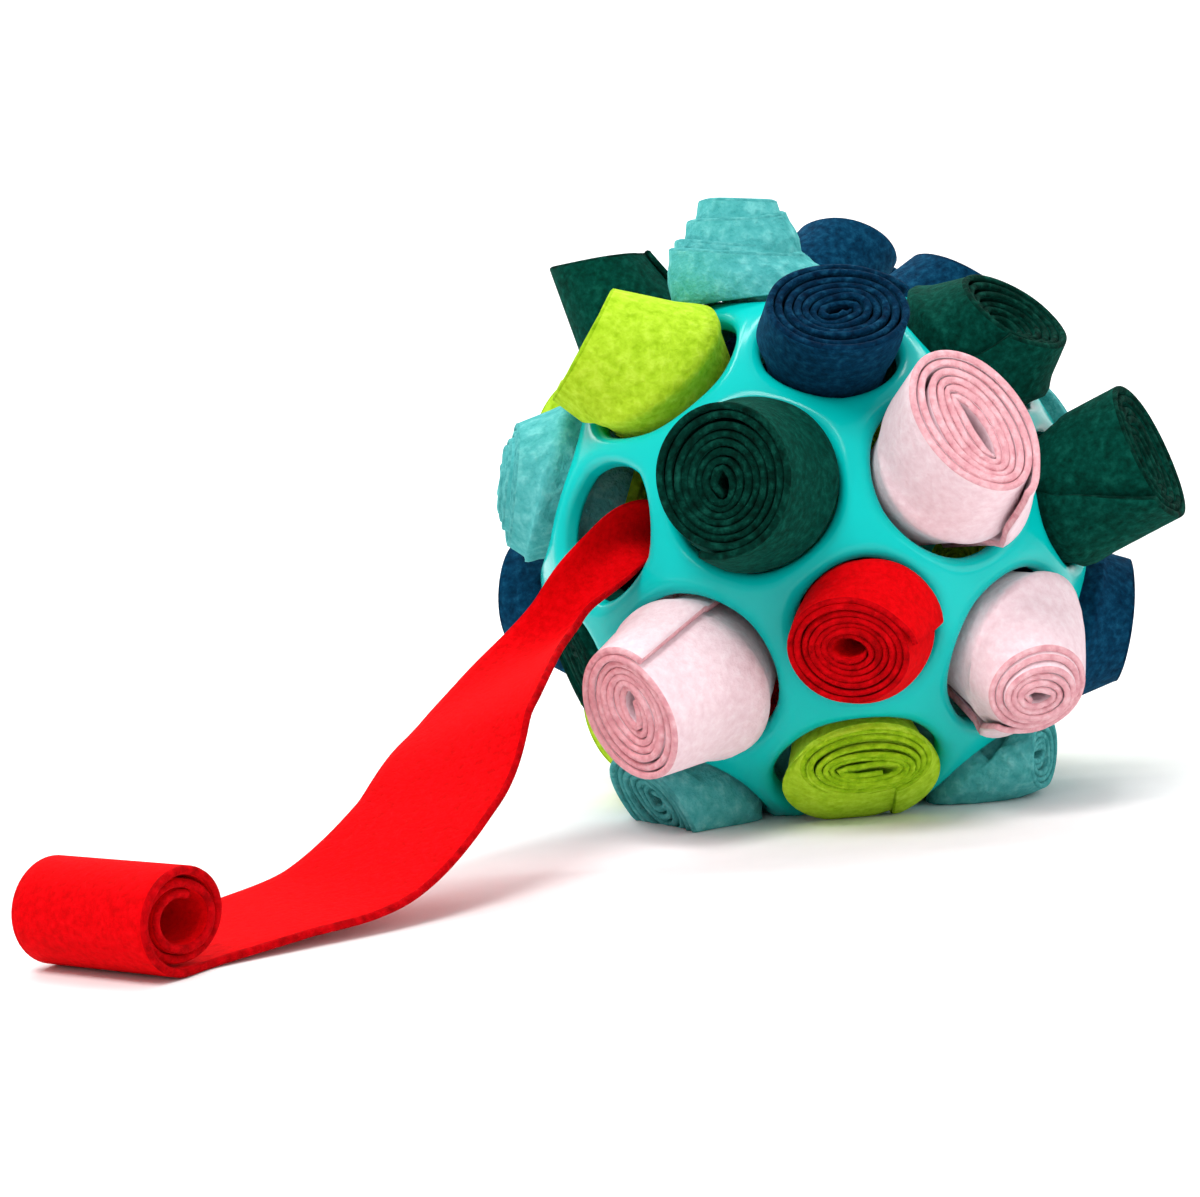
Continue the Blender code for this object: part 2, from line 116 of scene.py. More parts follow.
# polar and heading find the hole; rise, east and north place the roll's end from the hole's middle, and
# hang is the share of that lean right above the rubber; slack is how far the roll has pulled away from
# the far side of its hole; nod and swing turn the end to face north and east; wide and tall are the end's
# half axes, turn the tilt of that oval, seam the heading of the outer edge, dish how far the middle is
# sunk (below zero: it stands out), turns how often the strip is wound, core the open middle's share of
# the radius and flap how far the loose outer edge stands off.
ROLLS = [
    # name, cloth, polar, heading, rise, east, north, hang, slack, nod, swing, wide, tall, turn, seam, dish,
    # turns, core, flap
    ("roll_top", "teal", 0, 0, 8, -14.7, 0, 0.8, 0, 0, 6, 20.8, 19, 0, 200, -13, 6, 0.1, 0.3),
    ("roll_crown_front", "navy", 37, -84, 16, 0, -8, 0.3, 0, 0, 0, 18, 17, 0, 20, 2, 7, 0.1, 0.8),
    ("roll_crown_right", "navy", 37, 36, 14, -5, -2, 0.3, 0, 0, -5, 16.5, 15, 0, 290, 2, 7, 0.12, 0.2),
    ("roll_crown_left", "green", 37, 156, 25, 0, 5, 0.3, 0, 30, 0, 13.5, 13.5, 0, 100, 1, 7, 0.12, 0.2),
    ("roll_shoulder_right", "green", 42, -24, 13, -6, -4, 0.3, 0, 4, -10, 15.5, 15, 35, 200, 6, 6, 0.2, 0.8),
    ("roll_shoulder_left", "lime", 42, -144, 12, -13, -5, 0.45, 1.2, -10, -30, 18.5, 15.5, 0, 200, 2,
     6, 0.15, 0.3),
    ("roll_shoulder_back", "navy", 42, 96, 25, -25, 10, 0.3, 0, 5, -20, 15, 13, 0, 200, 2, 7, 0.12, 0.2),
    ("roll_upper_front_left", "green", 70, -106, 23, -1, -5, 0.3, 0, -5, -3, 16.5, 18.5, 10, 250, 3,
     8, 0.08, 0.8),
    ("roll_upper_front_right", "pink", 70, -61, 24, -9, 4, 0.3, 0, 8, -14, 20, 13, -74, 290, 2, 6, 0.1, 1.5),
    ("roll_upper_right", "teal", 70, 14, 1.5, 0, 0, 0.3, 0, 0, 0, 19, 19, 0, 60, 1, 7, 0.12, 0.5),
    ("roll_upper_back_right", "lime", 70, 59, 18, 2, 3, 0.3, 0, 4, 3, 17, 18, 0, 140, 3, 7, 0.12, 0.5),
    ("roll_upper_back_left", "lime", 70, 134, 18, 2, 8, 0.3, 0, 12, 0, 16, 15, 30, 210, -4, 7, 0.12, 0.5),
    ("roll_upper_left", "teal", 70, 179, 8.5, 0, -3, 0.3, 0, -10, 4, 17, 16.5, 0, 150, -3, 8, 0.1, 0.2),
    ("roll_belt_right", "green", 79, -24, 22, -1, 6, 0.3, 0, 12, 0, 15, 18, 0, 215, 3, 6, 0.16, 2.4),
    ("roll_belt_back", "pink", 79, 96, 20, 3, 1, 0.3, 0, 0, 5, 17, 16, 0, 260, 2, 6, 0.15, 0.8),
    ("roll_belt_front", "red", 101, -84, 14, -7, 0, 0.3, 0, 0, -16, 15.2, 13, -12, 10, 1, 7, 0.16, 0.9),
    ("roll_belt_far_right", "lime", 101, 36, 15, -2, 3, 0.3, 0, 5, 0, 16, 15, 0, 40, 2, 7, 0.12, 0.5),
    ("roll_belt_far_left", "navy", 101, 156, 12, 0, 8, 0.3, 0, 15, 0, 15.5, 15, 0, 180, 2, 7, 0.12, 0.5),
    ("roll_lower_front_right", "pink", 110, -46, 14, -11, -2, 0.3, 0, -6, -24, 13.5, 12, 10, 240, -3,
     6, 0.12, 1),
    ("roll_lower_right", "navy", 110, -1, 11, 1, 5, 0.3, 0, 10, 0, 15.5, 16.5, 0, 330, 2, 7, 0.12, 0.6),
    ("roll_lower_back_right", "green", 110, 74, 17, 2, 2, 0.3, 0, 3, 3, 17, 17, 0, 70, 3, 7, 0.12, 0.6),
    ("roll_lower_back_left", "pink", 110, 119, 20, -3, 2, 0.3, 0, 3, -4, 18, 15, 25, 10, 2, 7, 0.14, 0.9),
    ("roll_lower_left", "green", 110, -166, -2.5, 0, 0, 0, 0, 0, 0, 18.5, 18.5, 0, 100, 1, 7, 0.12, 0.2),
    ("roll_lower_front_left", "pink", 110, -121, 23, -4, 3, 0.3, 0, 3, -14, 15, 17, 0, 60, 2, 7, 0.12, 0.4),
    ("roll_foot_front", "lime", 138, -84, 2, 0, 11, 0.5, 2, 18, 0, 16.4, 10.8, 0, 300, -2, 6, 0.12, 0.4),
    ("roll_foot_right", "navy", 138, 36, 8, 0, 9, 0.3, 0, 22, 0, 16, 15, 0, 200, 2, 7, 0.12, 0.5),
    ("roll_foot_left", "lime", 138, 156, 5, -3, 16, 0.3, 0, 24, 0, 12, 12.5, 0, 45, 2, 7, 0.12, 0.2),
    ("roll_low_right", "teal", 143, -24, 6, 0, 15, 0.3, 0, 50, 5, 15, 9.5, -8, 150, 2, 5, 0.12, 0.3),
    ("roll_low_left", "teal", 143, -144, 9, 0, 10, 0.3, 0, 24, -6, 16, 15, 0, 90, 2, 6, 0.12, 0.6),
    ("roll_low_back", "red", 143, 96, 8, 2, 9, 0.3, 0, 22, 0, 15, 14, 0, 220, 2, 7, 0.12, 0.6),
    ("roll_bottom", "teal", 180, 0, -7.5, 0, 0, 0, 0, 0, 0, 18.8, 18.8, 0, 30, 0, 8, 0.1, 0),
]

# --- The red strip ----------------------------------------------------------------------------------
STRIP_WIDTH = 38 * MM
STRIP_THICK = 1.9 * MM
# The middle of the strip from the floor roll up into the open hole, and the tilt of its width about its
# own run.
STRIP_ROUTE = [
    # x, y, z, tilt
    (-160, -165.5, 1, 0),
    (-152, -155.5, 1.3, 0.5),
    (-134, -142, 4, 3),
    (-114, -127, 8, 6),
    (-97.5, -108, 21, -1),
    (-87.5, -90, 36, -14),
    (-77, -75, 46, -13),
    (-66, -62.5, 54.5, 4),
    (-57, -54.5, 65, 40),
    (-48.3, -45.8, 74, 74),
    (-40, -38, 73.5, 80),
]
ROUTE_STEPS = 14  # points along each stretch of the route
ROUTE_LEFT_OUT = 6  # the points at its start, where the floor roll's own take their place
STRIP_ROWS = 16
NECK_WIDTH = 14.6 * MM  # the strip's width where the hole gathers it
NECK_FROM = 0.52  # share of the route where it starts to gather
NECK_RUN = 0.22  # and over which it does
TROUGH = 5.5 * MM  # how deep a trough the gathered cloth makes
LOOP_WIDE = 13.4 * MM  # half axes of the floor roll
LOOP_TALL = 12.2 * MM
LOOP_TURNS = 2.6
LOOP_CORE = 0.56  # its open middle's share of the radius
LOOP_STEPS = 150
LOOP_SAG = 0.15  # how much lower than round its inner end lies
LOOP_WOBBLE = 0.35 * MM
LOOP_STRAYS = (0.9 * MM, 1.2 * MM)  # how far its turns stray sideways, to and fro and steadily

# --- The camera and lights --------------------------------------------------------------------------
CAMERA_PLACE = (-0.05513, -0.83681, 0.13602)
CAMERA_RIGHT = (0.99785, -0.00633, -0.06529)
CAMERA_UP = (0.06560, 0.09631, 0.99319)
LENS = 98.11  # mm, on the sensor below
SENSOR = 36
FLOOR_NEAR = 3.0
FLOOR_FAR = 1.2  # where the floor starts to turn up
FLOOR_BEND = 0.8
FLOOR_STEPS = 16
FLOOR_HALF_WIDE = 4.0  # and the wall's height


# --- Small helpers ----------------------------------------------------------------------------------
def unit(v):
    return np.asarray(v, float) / np.linalg.norm(v)


def smooth(x, low, high):
    t = np.clip((x - low) / (high - low), 0, 1)
    return t * t * (3 - 2 * t)


def wave(seed, *places):
    """A smooth, repeatable wobble between about -1 and 1."""
    total = 0.0
    for k, place in enumerate(places):
        rate = 1.0 + 0.37 * k
        total = total + np.sin(rate * place + seed * 1.7 + k) * 0.6
        total = total + np.sin(2.3 * rate * place + seed * 3.1 + 2 * k) * 0.4
    return total / max(1, len(places))


def mesh_object(name, points, faces, materials, face_slots=None):
    mesh = bpy.data.meshes.new(name)
    mesh.from_pydata(np.asarray(points, float).tolist(), [], faces)
    for made in materials:
        mesh.materials.append(made)
    if face_slots is not None:
        mesh.polygons.foreach_set("material_index", np.asarray(face_slots, np.int32))
    mesh.update()
    mesh.shade_smooth()
    made = bpy.data.objects.new(name, mesh)
    bpy.context.scene.collection.objects.link(made)
    return made


# --- Materials --------------------------------------------------------------------------------------
class Nodes:
    """A Principled material's node tree, with short ways to add to it."""

    def __init__(self, name):
        self.material = bpy.data.materials.new(name)
        self.material.use_nodes = True
        self.tree = self.material.node_tree
        self.shader = self.tree.nodes["Principled BSDF"]
        self.place = self.add("ShaderNodeTexCoord").outputs["Object"]

    def add(self, kind, **inputs):
        node = self.tree.nodes.new(kind)
        for name, value in inputs.items():
            socket = node.inputs[name.replace("_", " ")]
            if isinstance(value, bpy.types.NodeSocket):
                self.tree.links.new(value, socket)
            else:
                socket.default_value = value
        return node

    def link(self, source, name):
        self.tree.links.new(source, self.shader.inputs[name])

    def noise(self, scale, detail=2.0, roughness=0.5):
        settings = {"Vector": self.place, "Scale": scale, "Detail": detail, "Roughness": roughness}
        return self.add("ShaderNodeTexNoise", **settings).outputs["Fac"]

    def ramp(self, source, stops):
        node = self.add("ShaderNodeValToRGB", Fac=source)
        elements = node.color_ramp.elements
        while len(elements) < len(stops):
            elements.new(0.5)
        for element, (place, colour) in zip(elements, stops):
            element.position = place
            element.color = (*colour, 1.0)
        return node.outputs["Color"]

    def bump(self, height, strength, distance, normal=None):
        node = self.add("ShaderNodeBump", Strength=strength, Distance=distance, Height=height)
        if normal is not None:
            self.tree.links.new(normal, node.inputs["Normal"])
        return node.outputs["Normal"]


def fleece(name, low, middle, high, pile=0.5, sheen=0.35, grain=1.0):
    """Brushed, slightly pilled cloth: three shades in soft clouds and a nap of fine fibres."""
    nodes = Nodes(name)
    pills = nodes.noise(420 * grain, 3.0, 0.6)
    nodes.link(nodes.ramp(pills, [(0.30, low), (0.52, middle), (0.74, high)]), "Base Color")
    fine = nodes.noise(1500, 4.0, 0.7)
    soft = nodes.bump(pills, pile, 0.0011)
    nodes.link(nodes.bump(fine, 0.35, 0.0004, soft), "Normal")
    shader = nodes.shader
    shader.inputs["Roughness"].default_value = 0.95
    shader.inputs["Specular IOR Level"].default_value = 0.05
    shader.inputs["Sheen Weight"].default_value = sheen
    shader.inputs["Sheen Roughness"].default_value = 0.45
    shader.inputs["Sheen Tint"].default_value = (*high, 1.0)
    return nodes.material


def rubber_material():
    """Glossy moulded rubber, a little uneven in its gloss and not quite even in its colour."""
    nodes = Nodes("rubber")
    clouds = nodes.noise(18, 3.0, 0.5)
    nodes.link(nodes.ramp(clouds, [(0.3, (0.0, 0.50, 0.47)), (0.7, (0.001, 0.57, 0.53))]), "Base Color")
    smears = nodes.noise(55, 4.0, 0.6)
    nodes.link(nodes.ramp(smears, [(0.3, (0.13,) * 3), (0.8, (0.21,) * 3)]), "Roughness")
    orange_peel = nodes.noise(160, 2.0, 0.5)
    nodes.link(nodes.bump(orange_peel, 0.08, 0.0006), "Normal")
    nodes.shader.inputs["Specular IOR Level"].default_value = 0.2
    return nodes.material


def floor_material():
    nodes = Nodes("floor")
    grain = nodes.noise(90, 3.0, 0.5)
    nodes.link(nodes.ramp(grain, [(0.2, (0.86, 0.86, 0.86)), (0.8, (0.89, 0.89, 0.89))]), "Base Color")
    nodes.shader.inputs["Roughness"].default_value = 0.9
    nodes.shader.inputs["Specular IOR Level"].default_value = 0.1
    return nodes.material


CLOTHS = {
    "teal": ((0.050, 0.34, 0.34), (0.085, 0.43, 0.43), (0.17, 0.57, 0.56)),
    "green": ((0.0, 0.022, 0.014), (0.0, 0.045, 0.031), (0.003, 0.080, 0.056)),
    "navy": ((0.0, 0.016, 0.042), (0.001, 0.036, 0.085), (0.006, 0.075, 0.15)),
    "lime": ((0.30, 0.52, 0.010), (0.42, 0.66, 0.026), (0.54, 0.78, 0.06)),
    "pink": ((0.82, 0.60, 0.65), (0.88, 0.68, 0.73), (0.93, 0.77, 0.81)),
    "red": ((0.54, 0.0, 0.001), (0.68, 0.0, 0.002), (0.76, 0.001, 0.004)),
}
EDGES = {
    "teal": ((0.040, 0.26, 0.26), (0.070, 0.36, 0.36), (0.14, 0.49, 0.48)),
    "green": ((0.0, 0.008, 0.005), (0.0, 0.024, 0.016), (0.004, 0.065, 0.045)),
    "navy": ((0.0, 0.007, 0.022), (0.0, 0.020, 0.052), (0.006, 0.060, 0.12)),
    "lime": ((0.18, 0.36, 0.004), (0.29, 0.50, 0.010), (0.42, 0.64, 0.03)),
    "pink": ((0.66, 0.29, 0.33), (0.78, 0.41, 0.45), (0.88, 0.57, 0.61)),
    "red": ((0.26, 0.0, 0.001), (0.44, 0.0, 0.002), (0.62, 0.001, 0.004)),
}
PILE = {"teal": 1.0, "green": 0.45, "navy": 0.45, "lime": 0.6, "pink": 0.35, "red": 0.25}
GRAIN = {"teal": 0.8, "green": 1.2, "navy": 1.2, "lime": 1.0, "pink": 1.1, "red": 1.4}


# --- Where the holes are ----------------------------------------------------------------------------
def lattice():
    """The 12 small and 20 large hole directions, with one large hole straight down."""
    gold = (1 + math.sqrt(5)) / 2
    small = []
    large = [(a, b, c) for a in (-1, 1) for b in (-1, 1) for c in (-1, 1)]
    for a in (-1, 1):
        for b in (-1, 1):
            small += [(0, a, b * gold), (a, b * gold, 0), (b * gold, 0, a)]
            large += [(0, b * gold, a / gold), (b * gold, a / gold, 0), (a / gold, 0, b * gold)]
    small = [unit(v) for v in small]
    large = [unit(v) for v in large]
    up = unit((1, 1, 1))
    beside = max(small, key=lambda v: (round(float(v @ up), 6), round(float(v[0]), 6)))
    out = unit(beside - up * (beside @ up))
    side = np.cross(up, out)
    east = np.array((math.cos(BALL_TURN), math.sin(BALL_TURN), 0))
    north = np.array((-math.sin(BALL_TURN), math.cos(BALL_TURN), 0))

    def place(v):
        return east * (v @ out) + north * (v @ side) + np.array((0, 0, 1)) * (v @ up)

    return [(place(v), SMALL_HOLE) for v in small] + [(place(v), LARGE_HOLE) for v in large]


def hole_near(holes, polar, heading):
    polar, heading = math.radians(polar), math.radians(heading)
    wanted = np.array((
        math.sin(polar) * math.cos(heading),
        math.sin(polar) * math.sin(heading),
        math.cos(polar),
    ))
    return max(holes, key=lambda hole: float(hole[0] @ wanted))


def frame_at(direction):
    """East and north along the ball's surface, seen from outside."""
    sideways = np.cross((0, 0, 1), direction)
    east = unit(sideways) if np.linalg.norm(sideways) > 0.05 else np.array((1.0, 0.0, 0.0))
    return east, np.cross(direction, east)


def pressed(offsets):
    """World places of offsets from the ball's centre, once the floor has pushed up the lowest skin."""
    offsets = np.asarray(offsets, float)
    reach = np.linalg.norm(offsets, axis=-1)
    lift = np.maximum(0.0, -offsets[..., 2] / reach * BALL_RADIUS - REST_HEIGHT)
    lift = lift * np.clip(1 - np.maximum(0.0, reach - BALL_RADIUS) / PRESS_FADE, 0, 1)
    out = offsets.copy()
    out[..., 2] += lift + REST_HEIGHT
    return out


# --- The rubber ball --------------------------------------------------------------------------------
def cell_outline(index, holes):
    """Directions round the middle of the rubber that surrounds one hole."""
    middle = holes[index][0]
    weighted = [direction / math.cos(angle) for direction, angle in holes]
    around = sorted(range(len(holes)), key=lambda k: -float(holes[k][0] @ middle))[1:]
    sides = 5 if holes[index][1] == SMALL_HOLE else 6
    east, north = frame_at(middle)
    around = sorted(
        around[:sides],
        key=lambda k: math.atan2(float(holes[k][0] @ north), float(holes[k][0] @ east)),
    )
    corners = []
    for k, after in enumerate(around[1:] + around[:1]):
        mine = weighted[index]
        corner = unit(np.cross(mine - weighted[around[k]], mine - weighted[after]))
        corners.append(corner if corner @ middle > 0 else -corner)
    outline = []
    for start, end in zip(corners, corners[1:] + corners[:1]):
        outline += [unit(start + (end - start) * step / EDGE_STEPS) for step in range(EDGE_STEPS)]
    return outline


def rib_profile(span, edge):
    """Depth below the outer surface and angle from the hole's middle, from mid-rib over the fillet,
    down the hole's wall and back to mid-rib inside."""
    start = edge + FILLET / BALL_RADIUS
    start = min(start, edge + FILLET_MOST * (span - edge))
    rows = [(0.0, span + (start - span) * k / RIB_STEPS) for k in range(RIB_STEPS + 1)]
    for k in range(1, FILLET_STEPS + 1):
        turn = math.pi / 2 * k / FILLET_STEPS
        rows.append((LIP * (1 - math.cos(turn)), start + (edge - start) * math.sin(turn)))
    inner = WALL - INNER_ROUND
    rows.append((inner, edge))
    for k in range(1, INNER_STEPS + 1):
        turn = math.pi / 2 * k / INNER_STEPS
        out = edge + INNER_ROUND / BALL_RADIUS * (1 - math.cos(turn))
        rows.append((inner + INNER_ROUND * math.sin(turn), out))
    rows.append((WALL, (edge + span) / 2))
    rows.append((WALL, span))
    return rows


def ball_shell(holes, finish):
    verts, faces = [], []
    open_middle = hole_near(holes, *OPEN_HOLE)[0]
    for index, (middle, hole_angle) in enumerate(holes):
        is_open = float(middle @ open_middle) > 0.999
        rim, pull = (hole_angle, CORNER_PULL) if is_open else (hole_angle, SNUG_PULL)
        outline = cell_outline(index, holes)
        spans = [math.acos(min(1.0, float(middle @ d))) for d in outline]
        first = len(verts)
        wide = 0
        for direction, span in zip(outline, spans):
            away = unit(direction - middle * (direction @ middle))
            edge = rim + pull * (span - min(spans))
            profile = rib_profile(span, edge)
            wide = len(profile)
            for depth, angle in profile:
                ray = middle * math.cos(angle) + away * math.sin(angle)
                verts.append(ray * (BALL_RADIUS - depth))
        count = len(outline)
        for r in range(count):
            for k in range(wide - 1):
                a, b = first + r * wide + k, first + (r + 1) % count * wide + k
                faces.append((a, a + 1, b + 1, b))
    made = mesh_object("rubber_ball", pressed(np.array(verts)), faces, [finish])
    bm = bmesh.new()
    bm.from_mesh(made.data)
    bmesh.ops.remove_doubles(bm, verts=bm.verts, dist=MERGED)
    bmesh.ops.recalc_face_normals(bm, faces=bm.faces)
    bm.to_mesh(made.data)
    bm.free()
    made.data.shade_smooth()
    return made


# --- Wound cloth ------------------------------------------------------------------------------------
def ribbon(name, middles, outward, up_rows, thick, cloth, edge):
    """A closed sheet from a grid of places: middles[row, step] with its outward normals. Its top cut
    edge is rounded; its long cut edges and its two ends take the edge material."""
    rows, steps = middles.shape[:2]
    half = thick / 2
    outer = middles + outward * half
    inner = middles - outward * half
    top = middles[-1] + up_rows * half * 0.9
    top_out = middles[-1] + outward[-1] * half * 0.8 + up_rows * half * 0.6
    top_in = middles[-1] - outward[-1] * half * 0.8 + up_rows * half * 0.6
    ring = [*outer, top_out, top, top_in, *inner[::-1]]
    grid = np.array(ring)  # ring position, step
    count = len(ring)
    points = grid.transpose(1, 0, 2).reshape(-1, 3)
    faces, slots = [], []
    for s in range(steps - 1):
        for k in range(count):
            after = (k + 1) % count
            a, b = s * count + k, s * count + after
            faces.append((a, a + count, b + count, b))
            slots.append(1 if rows - 1 <= k < rows + 3 or k == count - 1 else 0)
    last = (steps - 1) * count
    for s, flip in ((0, False), (last, True)):
        for k in range(rows - 1):
            quad = (s + k, s + k + 1, s + count - 2 - k, s + count - 1 - k)
            faces.append(quad[::-1] if flip else quad)
            slots.append(1)
        cap = (s + rows - 1, s + rows, s + rows + 1, s + rows + 2, s + rows + 3)
        faces.append(cap[::-1] if flip else cap)
        slots.append(1)
    return mesh_object(name, points, faces, [cloth, edge], slots)


def roll_axis(row, holes):
    """The stations up a roll, as its CAD solid has them: middle, across, along and half axes."""
    _, _, polar, heading, rise, east_lean, north_lean, hang, slack, nod, swing, wide, tall = row[:13]
    middle, hole_angle = hole_near(holes, polar, heading)
    east, north = frame_at(middle)
    rise, wide, tall, slack = rise * MM, wide * MM, tall * MM, slack * MM
    lean = (east * east_lean + north * north_lean) * MM
    pulled = unit(lean) * slack if slack else np.zeros(3)
    tip = BALL_RADIUS + rise
    draped = hang > DRAPED_FROM
    rim = BALL_RADIUS * math.cos(hole_angle)
    if draped:
        shoulder = rim + DRAPED_OVER
    else:
        shoulder = BALL_RADIUS + min(SWELL_SHARE * rise, SWELL_TOP) * (1 - 0.5 * hang)
    base = BALL_RADIUS * math.sin(hole_angle) + BULGE - slack
    stations = []  # radius, share of the lean, share of the bend, half axes
    for radius in (ROLL_ROOT, BALL_RADIUS - WALL, BALL_RADIUS - LIP):
        neck = radius * math.sin(hole_angle) - GAP - slack
        stations.append((radius, 0.0, 0.0, neck, neck))
    if rise > 0:
        half = base - BULGE / 2
        if draped:
            stations[-1] = (rim + STARTS_OVER, 0.0, 0.0, half, half)
        else:
            stations.append((BALL_RADIUS - AT_RUBBER, 0.0, 0.0, half, half))
            stations.append((BALL_RADIUS + AT_RUBBER, 0.0, 0.0, base, base))
        swell = (base + (wide - base) * SWELL_AXES, base + (tall - base) * SWELL_AXES)
        stations.append((shoulder, hang, BEND_BELOW, *swell))
        stations.append((tip, 1.0, 1.0, wide, tall))
    else:
        stations = stations[:1] + [(tip, 0.0, 0.0, wide, tall)]
    out = []
    for radius, share, bend, half_w, half_t in stations:
        nodded, swung = math.radians(nod * bend), math.radians(swing * bend)
        over = unit(middle * radius + (lean * share if share else pulled))
        run = unit((over if share < 1 else middle) + north * math.tan(nodded) + east * math.tan(swung))
        across = unit(east - run * (east @ run))
        along = np.cross(run, across)
        place = over * radius if share < 1 else middle * radius + lean
        out.append(np.concatenate((place, across, along, run, (half_w, half_t))))
    return np.array(out)


def up_the_roll(stations):
    """Rows up the roll, close together where it shows, smoothly between the stations."""
    lengths = np.linalg.norm(np.diff(stations[:, :3], axis=0), axis=1)
    heights = np.concatenate(([0], np.cumsum(lengths)))
    fine = np.linspace(0, heights[-1], FINE_ROWS)
    reach = max(1, int(EASE / heights[-1] * FINE_ROWS))
    eased = []
    for k in range(stations.shape[1]):
        values = np.interp(fine, heights, stations[:, k])
        before = 2 * values[0] - values[reach:0:-1]
        after = 2 * values[-1] - values[-2 : -2 - reach : -1]
        padded = np.concatenate((before, values, after))
        eased.append(np.convolve(padded, np.ones(2 * reach + 1) / (2 * reach + 1), "valid"))
    shown = min((ROLL_SHOWN - ROLL_ROOT) / heights[-1], 1 - LEAST_SHOWN)
    shares = np.concatenate(([0.0, shown * HIDDEN_ROW], np.linspace(shown, 1, ROWS_UP - 2)))
    made = np.array([np.interp(shares * heights[-1], fine, column) for column in eased]).T
    return made, shares, heights[-1]


def wound_roll(row, holes, finishes, seed):
    """One strip wound from its outer edge inwards, round its roll's own outline."""
    name, cloth, *_ = row
    wide, tall, turn, seam, dish, turns, core, flap = row[11:]
    up, shares, height = up_the_roll(roll_axis(row, holes))
    radius = min(wide, tall) * MM
    mean = (wide + tall) / 2 * MM - radius * (1 - core) / 2
    length = 2 * math.pi * mean * turns
    steps = int(length / STEP_ALONG)
    # even steps of length, from the outer edge inwards
    share_of_turns = np.linspace(0, 1, 400)
    lengths = np.cumsum(1 - share_of_turns * (1 - core))
    lengths = (lengths - lengths[0]) / (lengths[-1] - lengths[0])
    t = np.interp(np.linspace(0, 1, steps), lengths, share_of_turns)
    angle = math.radians(seam - turn) + 2 * math.pi * turns * t
    pitch = radius * (1 - core) / turns
    # the outer turns stay round, each stepping in where the one outside it begins
    passed = t * turns
    step_in = smooth(passed % 1, STEPS_IN_FROM, 1.0)
    held = 1 - smooth(passed, *HELD_TURNS)
    passed = np.floor(passed) + held * step_in + (1 - held) * (passed % 1)
    size = 1 - (1 - core) * passed / turns
    # further in, the turns lie oval and off the middle
    slack = (1 - size) ** 2
    round_it = angle + math.radians(turn)
    uneven = OVAL * slack * size * np.cos(2 * round_it - seed)
    uneven = uneven + OFF_MIDDLE * slack * np.cos(round_it - 2.3 * seed)
    wobble = wave(seed, angle * 0.83, angle * 2.1) * WOBBLE * pitch
    loose = flap * MM * (1 - smooth(t * turns, 0.0, LOOSE_OVER))
    slant = math.radians(SLANTS.get(name, SLANT * math.sin(5.1 * seed)))
    cut = slant * (1 - smooth(t * turns, 0.0, SLANT_OVER))
    c, s = math.cos(math.radians(turn)), math.sin(math.radians(turn))
    middles = np.zeros((ROWS_UP, steps, 3))
    outward = np.zeros((ROWS_UP, steps, 3))
    if dish < 0:
        sunk = dish * MM * smooth(1 - size, *RAISED_OVER)  # below zero: the inner turns stand out
    else:
        sunk = dish * MM * (1 - size) ** SUNK_POWER
    ragged = wave(seed + 5, angle * 1.3, angle * 0.37) * RAGGED
    for r in range(ROWS_UP):
        place, across, along, run = up[r, :3], up[r, 3:6], up[r, 6:9], up[r, 9:12]
        half_w, half_t = up[r, 12] - CLOTH / 2, up[r, 13] - CLOTH / 2
        less = min(half_w, half_t)
        near_end = smooth(shares[r], NEAR_END, 1.0)
        grow = size + uneven * near_end + (wobble + loose * near_end) / radius
        if dish < TELESCOPED:
            grow = grow - smooth(shares[r], LEAN_IN_FROM, 1.0) * LEAN_IN * pitch / radius
        at_w, at_t = half_w - less * (1 - grow), half_t - less * (1 - grow)
        here = angle - cut * (1 - shares[r])
        x, y = at_w * np.cos(here), at_t * np.sin(here)
        x, y = x * c - y * s, x * s + y * c
        nx, ny = np.cos(here) / at_w, np.sin(here) / at_t
        nx, ny = nx * c - ny * s, nx * s + ny * c
        shift = (ragged - sunk) * near_end
        middles[r] = place + np.outer(x, across) + np.outer(y, along) + np.outer(shift, run)
        normal = np.outer(nx, across) + np.outer(ny, along)
        outward[r] = normal / np.linalg.norm(normal, axis=1, keepdims=True)
    ups = np.repeat(up[-1:, 9:12], steps, axis=0)
    # neighbouring turns must not touch: the cloth is as thick as the pitch allows
    thick = min(CLOTH, PACKED * pitch)
    made = ribbon(name + "_cloth", pressed(middles), outward, ups, thick, *finishes)
    place_on_floor(made)
    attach(made, "root")
    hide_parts(name)


def place_on_floor(made):
    """Cloth that would hang below the floor lies flat on it, its layers in their order."""
    count = len(made.data.vertices)
    places = np.empty(count * 3)
    made.data.vertices.foreach_get("co", places)
    places = places.reshape(-1, 3)
    below = np.minimum(places[:, 2] - ON_FLOOR, 0.0)
    places[:, 2] = np.maximum(places[:, 2], ON_FLOOR) + below * FLATTENED
    made.data.vertices.foreach_set("co", places.ravel())
    made.data.update()


# --- The red strip ----------------------------------------------------------------------------------
def smooth_route(rows, steps):
    """A Catmull-Rom curve through the rows."""
    rows = np.array(rows, float)
    rows = np.vstack([2 * rows[0] - rows[1], rows, 2 * rows[-1] - rows[-2]])
    out = []
    for i in range(1, len(rows) - 2):
        a, b, c, d = rows[i - 1 : i + 3]
        for k in range(steps):
            t = k / steps
            out.append(0.5 * (2 * b + (c - a) * t + (2 * a - 5 * b + 4 * c - d) * t**2
                              + (3 * b - a - 3 * c + d) * t**3))
    out.append(rows[-2])
    return np.array(out)


